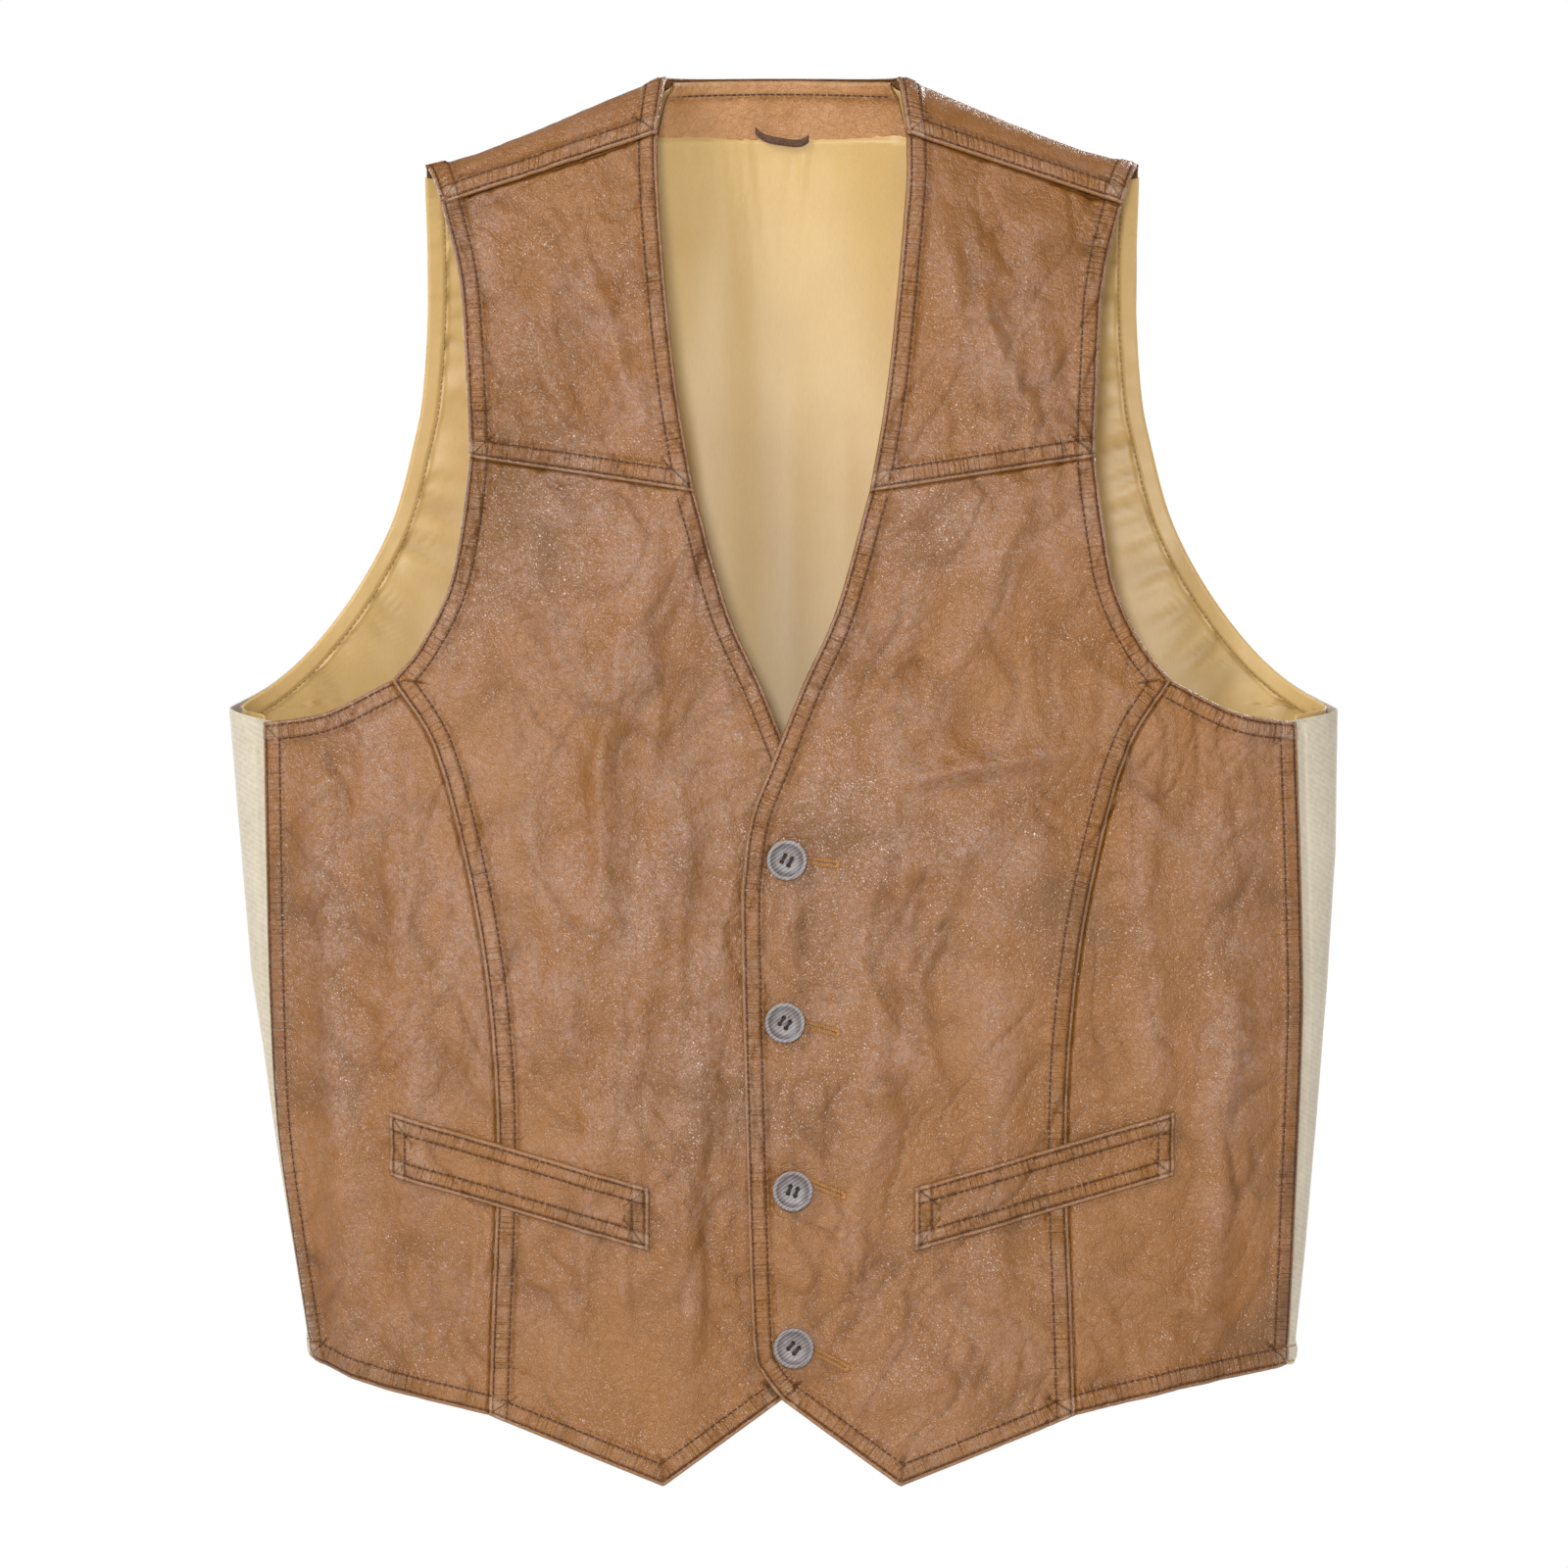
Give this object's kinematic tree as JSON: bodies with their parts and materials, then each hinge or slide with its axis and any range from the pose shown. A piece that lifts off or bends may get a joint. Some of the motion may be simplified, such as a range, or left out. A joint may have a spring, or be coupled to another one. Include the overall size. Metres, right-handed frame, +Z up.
{
  "type": "leather waistcoat",
  "caption": "Leather-front waistcoat, buttoned: V neck, western yokes, welt pockets, satin lining, cloth back with waist cinch.",
  "frame": {"origin": "middle of the shoulder line, where a coat hanger's hook rises between the two shoulders", "axes": "+Z up, the buttoned front faces -Y, +X towards the wearer's left"},
  "size_m": [0.5064, 0.0936, 0.6418],
  "materials": {
    "leather": "semi-gloss aniline tan leather, softly creased",
    "facing_leather": "satin, smoother inner leather",
    "satin": "gold acetate satin lining",
    "back_cloth": "matt beige twill",
    "pocketing": "plain cotton pocketing",
    "interfacing": "non-woven interfacing",
    "horn": "horn-look resin, polished rim",
    "button_thread": "dark brown thread",
    "buttonhole_thread": "tan brown worked stitches",
    "loop_ribbon": "dark brown ribbed ribbon",
    "buckle_metal": "aged nickel"
  },
  "bodies": {
    "root": {"back_yoke": "leather", "back_panel_left": "back_cloth", "back_panel_right": "back_cloth", "back_lining": "satin", "neck_facing": "facing_leather", "cinch_strap_left": "back_cloth", "cinch_strap_right": "back_cloth", "cinch_buckle": "buckle_metal"},
    "front_left": {"yoke_left": "leather", "centre_front_left": "leather", "side_front_left": "leather", "welt_left": "leather", "pocket_bag_left": "pocketing", "interfacing_left": "interfacing", "front_facing_left": "facing_leather", "front_lining_left": "satin", "buttonhole_1": "buttonhole_thread", "buttonhole_2": "buttonhole_thread", "buttonhole_3": "buttonhole_thread", "buttonhole_4": "buttonhole_thread"},
    "front_right": {"yoke_right": "leather", "centre_front_right": "leather", "side_front_right": "leather", "welt_right": "leather", "pocket_bag_right": "pocketing", "interfacing_right": "interfacing", "front_facing_right": "facing_leather", "front_lining_right": "satin"},
    "loop": {"hanger_loop": "loop_ribbon"},
    "button_1": {"button_1": "horn", "button_thread_1": "button_thread"},
    "button_2": {"button_2": "horn", "button_thread_2": "button_thread"},
    "button_3": {"button_3": "horn", "button_thread_3": "button_thread"},
    "button_4": {"button_4": "horn", "button_thread_4": "button_thread"}
  },
  "joints": [
    {"name": "front_left_open", "type": "hinge", "parent": "root", "child": "front_left", "pos_m": [0.2375, -0.0145, -0.4405], "axis": [0, -0.0372, 0.9993], "range_deg": [0, 55]},
    {"name": "front_right_open", "type": "hinge", "parent": "root", "child": "front_right", "pos_m": [-0.2315, -0.01155, -0.439], "axis": [-0.0687, -0.0457, 0.9966], "range_deg": [-27.5, 0]},
    {"name": "button_1_turn", "type": "hinge", "parent": "front_right", "child": "button_1", "pos_m": [0.0022, -0.0458, -0.3565], "axis": [0, 1, 0], "range_deg": [-40, 40], "stiffness_Nm_per_rad": 0.0003},
    {"name": "button_2_turn", "type": "hinge", "parent": "front_right", "child": "button_2", "pos_m": [0.0013, -0.0458, -0.43], "axis": [0, 1, 0], "range_deg": [-40, 40], "stiffness_Nm_per_rad": 0.0003},
    {"name": "button_3_turn", "type": "hinge", "parent": "front_right", "child": "button_3", "pos_m": [0.0049, -0.0458, -0.506], "axis": [0, 1, 0], "range_deg": [-40, 40], "stiffness_Nm_per_rad": 0.0003},
    {"name": "button_4_turn", "type": "hinge", "parent": "front_right", "child": "button_4", "pos_m": [0.0053, -0.0458, -0.577], "axis": [0, 1, 0], "range_deg": [-40, 40], "stiffness_Nm_per_rad": 0.0003},
    {"name": "hanger_loop_swing", "type": "hinge", "parent": "root", "child": "loop", "pos_m": [0, 0.0236, -0.0178], "axis": [1, 0, 0], "range_deg": [-80, 0]}
  ],
  "couplings": [
    {"joint": "front_right_open", "follows": "front_left_open", "ratio": -0.5}
  ]
}
